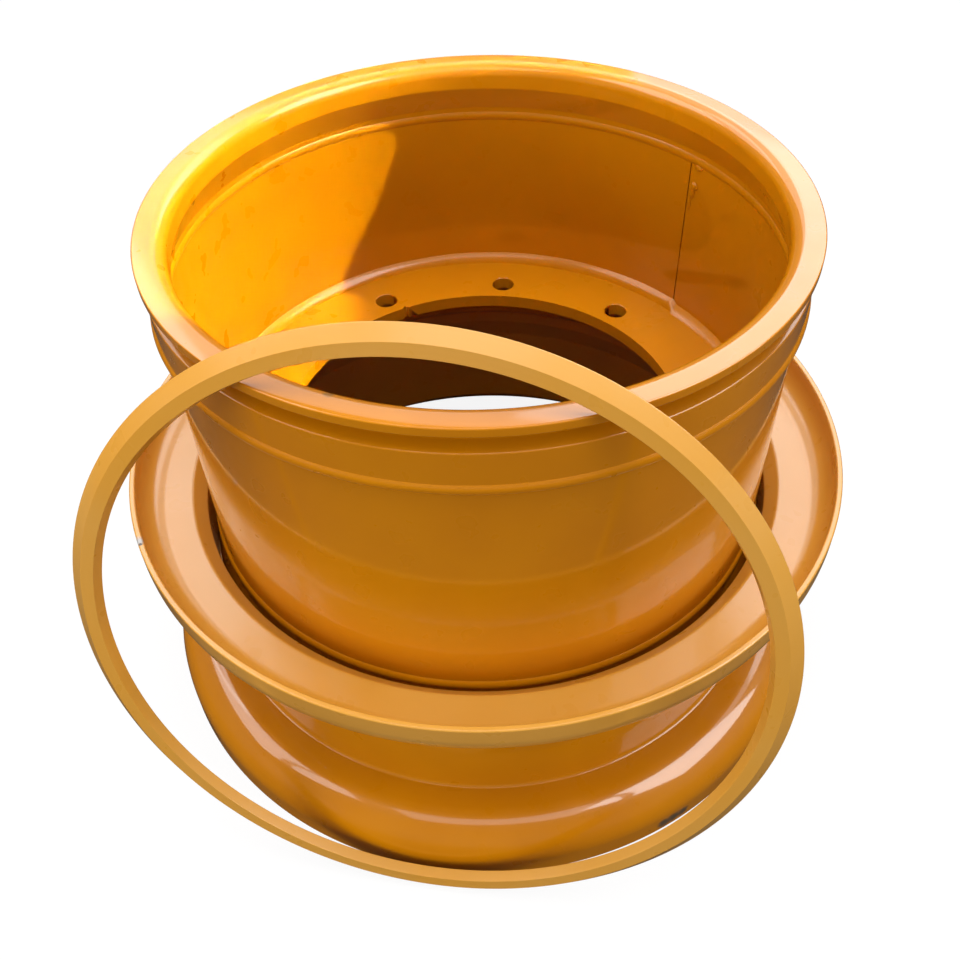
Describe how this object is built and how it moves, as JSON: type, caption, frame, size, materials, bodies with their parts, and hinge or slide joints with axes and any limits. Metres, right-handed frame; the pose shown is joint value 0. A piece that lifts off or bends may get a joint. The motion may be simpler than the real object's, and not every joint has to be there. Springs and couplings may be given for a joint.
{
  "type": "earthmoving rim",
  "caption": "Welded steel rim base for a large earthmover tyre, with a bolted mounting disc inside, a loose side ring dropped over it and a lock ring leaning on its lip.",
  "frame": {"origin": "centre of the mounting disc's hub face, on the wheel's axis", "axes": "+Z along the wheel's axis towards the lock ring side, up as the rim stands on its fixed flange; the lock ring leans on the -Y side"},
  "size_m": [0.762, 0.7957, 0.6122],
  "materials": {
    "yellow_paint": "glossy yellow-orange enamel on steel",
    "weld_paint": "the same enamel over rippled weld beads",
    "ring_paint": "the same enamel, chipped to bare steel at the side ring's lip"
  },
  "bodies": {
    "root": {"gutter_section": "yellow_paint", "center_band": "yellow_paint", "back_section": "yellow_paint", "mounting_disc": "yellow_paint", "band_seam_weld": "weld_paint", "gutter_weld_outer": "weld_paint", "gutter_weld_inner": "weld_paint", "back_weld_outer": "weld_paint", "back_weld_inner": "weld_paint", "disc_weld_upper": "weld_paint", "disc_weld_lower": "weld_paint", "side_ring": "ring_paint", "lock_ring": "ring_paint"}
  },
  "joints": []
}
